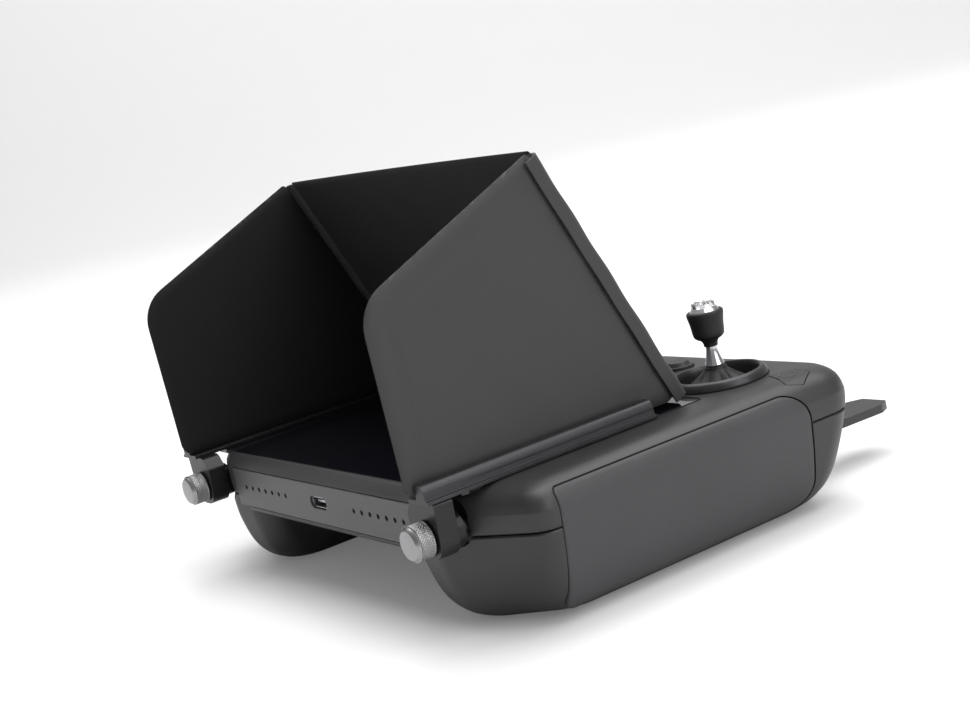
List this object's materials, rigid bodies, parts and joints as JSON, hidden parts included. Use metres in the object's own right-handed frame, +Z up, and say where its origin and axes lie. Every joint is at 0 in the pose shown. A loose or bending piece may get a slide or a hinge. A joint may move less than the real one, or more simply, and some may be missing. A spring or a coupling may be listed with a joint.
{
  "type": "radio transmitter controller",
  "caption": "Handheld transmitter with a built-in screen, gimbal sticks, folding antennas, rubber grips and a clamp-on folding monitor hood.",
  "frame": {"origin": "middle of the whole bounding box in plan, on the flat undersides of the grips", "axes": "+X to the user's right, +Y away from the user, +Z up out of the screen"},
  "size_m": [0.1774, 0.167, 0.1123],
  "materials": {
    "shell_plastic": "matt, fine moulded grain",
    "black_plastic": "satin",
    "pad_rubber": "satin with a fine leather grain",
    "boot_rubber": "matt",
    "screen_glass": "polished black cover glass",
    "display": "dark display stack",
    "frame_metal": "die cast",
    "board": "solder mask",
    "bright_steel": "bright",
    "crown_metal": "machined",
    "dark_anodised": "dark anodised, semi gloss",
    "light_guide": "frosted",
    "hood_leatherette": "coated fabric, fine crosshatch grain"
  },
  "bodies": {
    "body": {"top_shell": "shell_plastic", "bottom_shell": "shell_plastic", "front_bezel": "shell_plastic", "right_grip_pad": "pad_rubber", "left_grip_pad": "pad_rubber", "screen_glass": "screen_glass", "lcd_panel": "display", "mid_frame": "frame_metal", "main_board": "board", "shield_cans": "bright_steel", "battery_cells": "black_plastic", "fan_housing": "black_plastic", "heat_sink": "frame_metal", "speakers": "black_plastic", "usb_c_port": "bright_steel", "rear_ports": "bright_steel", "screw_plates": "dark_anodised", "right_gimbal_base": "black_plastic", "left_gimbal_base": "black_plastic", "right_gimbal_ring": "dark_anodised", "left_gimbal_ring": "dark_anodised", "light_pipe": "light_guide", "antenna_brackets": "black_plastic", "antenna_pins": "bright_steel", "right_rail": "dark_anodised", "left_rail": "dark_anodised", "right_bracket": "dark_anodised", "left_bracket": "dark_anodised", "case_screws": "bright_steel"},
    "fan": {"fan_rotor": "black_plastic"},
    "right_gimbal": {"right_yoke": "frame_metal"},
    "right_stick_set": {"right_stick": "bright_steel", "right_stick_grip": "boot_rubber", "right_stick_crown": "crown_metal", "right_boot": "boot_rubber"},
    "left_gimbal": {"left_yoke": "frame_metal"},
    "left_stick_set": {"left_stick": "bright_steel", "left_stick_grip": "boot_rubber", "left_stick_crown": "crown_metal", "left_boot": "boot_rubber"},
    "confirm": {"confirm_button": "black_plastic"},
    "back": {"back_button": "black_plastic"},
    "power": {"power_button": "shell_plastic"},
    "home": {"home_button": "shell_plastic"},
    "pause": {"pause_button": "shell_plastic"},
    "nav": {"nav_knob": "shell_plastic"},
    "shutter": {"shutter_button": "shell_plastic"},
    "record": {"record_button": "shell_plastic"},
    "custom_right": {"custom_button_right": "shell_plastic"},
    "custom_left": {"custom_button_left": "shell_plastic"},
    "mode": {"mode_switch": "shell_plastic"},
    "right_wheel": {"right_dial": "shell_plastic"},
    "left_wheel": {"left_dial": "shell_plastic"},
    "right_aerial": {"right_antenna": "shell_plastic"},
    "left_aerial": {"left_antenna": "shell_plastic"},
    "hood": {"hood_back_panel": "hood_leatherette"},
    "hood_right": {"hood_right_panel": "hood_leatherette"},
    "hood_left": {"hood_left_panel": "hood_leatherette"},
    "right_screw": {"right_thumbscrew": "crown_metal"},
    "left_screw": {"left_thumbscrew": "crown_metal"}
  },
  "joints": [
    {"name": "fan_spin", "type": "hinge", "parent": "body", "child": "fan", "pos_m": [0, -0.0105, 0.024], "axis": [0, 0, 1], "continuous": true},
    {"name": "right_stick_pitch", "type": "hinge", "parent": "body", "child": "right_gimbal", "pos_m": [0.0602, 0.0246, 0.0295], "axis": [1, 0, 0], "range_deg": [-20, 20]},
    {"name": "right_stick_roll", "type": "hinge", "parent": "right_gimbal", "child": "right_stick_set", "pos_m": [0.0602, 0.0246, 0.0295], "axis": [0, 1, 0], "range_deg": [-20, 20]},
    {"name": "left_stick_pitch", "type": "hinge", "parent": "body", "child": "left_gimbal", "pos_m": [-0.0602, 0.0246, 0.0295], "axis": [1, 0, 0], "range_deg": [-20, 20]},
    {"name": "left_stick_roll", "type": "hinge", "parent": "left_gimbal", "child": "left_stick_set", "pos_m": [-0.0602, 0.0246, 0.0295], "axis": [0, 1, 0], "range_deg": [-20, 20]},
    {"name": "confirm_press", "type": "slide", "parent": "body", "child": "confirm", "axis": [0, 0, -1], "range_m": [0, 0.0006]},
    {"name": "back_press", "type": "slide", "parent": "body", "child": "back", "axis": [0, 0, -1], "range_m": [0, 0.0006]},
    {"name": "power_press", "type": "slide", "parent": "body", "child": "power", "axis": [0, 0, -1], "range_m": [0, 0.0006]},
    {"name": "home_press", "type": "slide", "parent": "body", "child": "home", "axis": [0, 0, -1], "range_m": [0, 0.0006]},
    {"name": "pause_press", "type": "slide", "parent": "body", "child": "pause", "axis": [0, 0, -1], "range_m": [0, 0.0006]},
    {"name": "nav_press", "type": "slide", "parent": "body", "child": "nav", "axis": [0, 0, -1], "range_m": [0, 0.0006]},
    {"name": "shutter_press", "type": "slide", "parent": "body", "child": "shutter", "axis": [0, -1, 0], "range_m": [0, 0.0008]},
    {"name": "record_press", "type": "slide", "parent": "body", "child": "record", "axis": [0, -1, 0], "range_m": [0, 0.0008]},
    {"name": "custom_right_press", "type": "slide", "parent": "body", "child": "custom_right", "axis": [0, 0, 1], "range_m": [0, 0.0006]},
    {"name": "custom_left_press", "type": "slide", "parent": "body", "child": "custom_left", "axis": [0, 0, 1], "range_m": [0, 0.0006]},
    {"name": "mode_slide", "type": "slide", "parent": "body", "child": "mode", "axis": [1, 0, 0], "range_m": [-0.0035, 0.0035]},
    {"name": "right_wheel_turn", "type": "hinge", "parent": "body", "child": "right_wheel", "pos_m": [0.0735, 0.0407, 0.016], "axis": [0, 0, 1], "range_deg": [-30, 30]},
    {"name": "left_wheel_turn", "type": "hinge", "parent": "body", "child": "left_wheel", "pos_m": [-0.0735, 0.0407, 0.016], "axis": [0, 0, 1], "range_deg": [-30, 30]},
    {"name": "right_antenna_fold", "type": "hinge", "parent": "body", "child": "right_aerial", "pos_m": [0.058, 0.0415, 0.0178], "axis": [0, 0, 1], "range_deg": [0, 90]},
    {"name": "left_antenna_fold", "type": "hinge", "parent": "body", "child": "left_aerial", "pos_m": [-0.058, 0.0415, 0.0178], "axis": [0, 0, -1], "range_deg": [0, 90]},
    {"name": "hood_lift", "type": "slide", "parent": "body", "child": "hood", "axis": [0, 0, 1], "range_m": [0, 0.05]},
    {"name": "hood_right_fold", "type": "hinge", "parent": "hood", "child": "hood_right", "pos_m": [0.0675, 0.00591, 0.0375], "axis": [0, 0.4012, -0.916], "range_deg": [0, 88]},
    {"name": "hood_left_fold", "type": "hinge", "parent": "hood", "child": "hood_left", "pos_m": [-0.0675, 0.00591, 0.0375], "axis": [0, -0.4012, 0.916], "range_deg": [0, 80]},
    {"name": "right_screw_turn", "type": "hinge", "parent": "body", "child": "right_screw", "pos_m": [0.067, -0.0775, 0.0285], "axis": [0, 1, 0], "continuous": true},
    {"name": "left_screw_turn", "type": "hinge", "parent": "body", "child": "left_screw", "pos_m": [-0.067, -0.0775, 0.0285], "axis": [0, 1, 0], "continuous": true}
  ]
}
